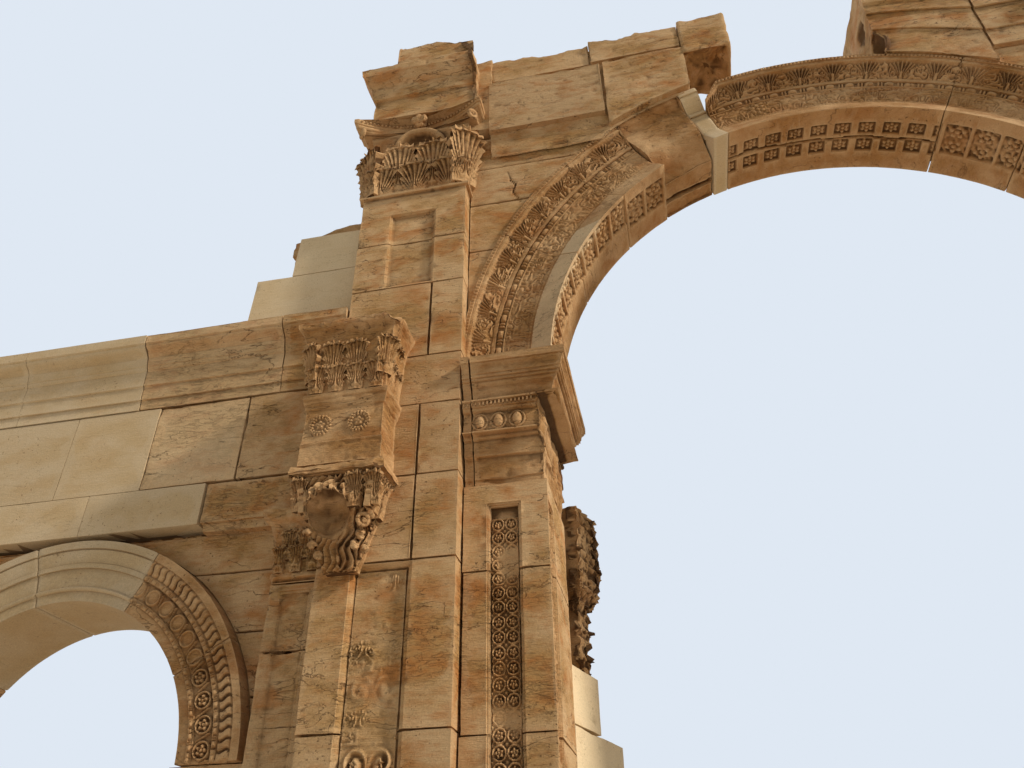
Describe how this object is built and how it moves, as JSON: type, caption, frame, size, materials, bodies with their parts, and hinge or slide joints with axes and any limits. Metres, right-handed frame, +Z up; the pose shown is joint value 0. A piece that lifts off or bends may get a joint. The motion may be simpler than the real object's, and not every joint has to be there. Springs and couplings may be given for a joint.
{
  "type": "ruined triumphal arch with three archways",
  "caption": "Ruined limestone triumphal arch: a tall middle archway between giant pilasters, a lower arch on each side, broken entablature above.",
  "frame": {"origin": "on the ground, at the middle of the plan of the whole arch", "axes": "+Z up, +X to the right along the front, +Y through the archways from the front to the back; the front faces -Y"},
  "size_m": [24.9, 4.1386, 13.3],
  "materials": {
    "old_limestone": "weathered honey limestone with bedding lines and pits",
    "dark_limestone": "carved limestone with brown crust",
    "new_limestone": "pale sawn limestone of the restoration"
  },
  "bodies": {
    "root": {"main_arch_left_haunch": "old_limestone", "main_arch_left_shoulder": "old_limestone", "main_arch_broken_voussoir": "dark_limestone", "main_arch_new_voussoir": "new_limestone", "main_arch_crown": "old_limestone", "main_arch_right_shoulder": "old_limestone", "main_arch_right_haunch": "old_limestone", "left_plinth": "old_limestone", "left_arch_pier": "old_limestone", "left_impost": "old_limestone", "left_giant_pilaster": "old_limestone", "left_giant_capital": "old_limestone", "left_console_capital": "dark_limestone", "left_console_entablature": "old_limestone", "left_spandrel": "old_limestone", "left_corner_block": "dark_limestone", "left_high_architrave": "old_limestone", "left_side_arch_old": "dark_limestone", "left_side_arch_new": "new_limestone", "left_upper_wall": "old_limestone", "left_side_architrave": "new_limestone", "left_restored_ashlar": "new_limestone", "left_rough_masonry": "dark_limestone", "right_plinth": "old_limestone", "right_arch_pier": "old_limestone", "right_impost": "old_limestone", "right_giant_pilaster": "old_limestone", "right_giant_capital": "old_limestone", "right_console_capital": "dark_limestone", "right_console_entablature": "old_limestone", "right_spandrel": "old_limestone", "right_corner_block": "dark_limestone", "right_high_architrave": "old_limestone", "right_side_arch_old": "dark_limestone", "right_side_arch_new": "new_limestone", "right_upper_wall": "old_limestone", "right_side_architrave": "new_limestone", "right_restored_ashlar": "new_limestone", "right_rough_masonry": "dark_limestone", "side_jambs": "old_limestone", "side_imposts": "new_limestone", "small_pilasters": "old_limestone", "side_spandrels": "old_limestone", "rear_piers": "new_limestone", "rear_capitals": "dark_limestone"}
  },
  "joints": []
}
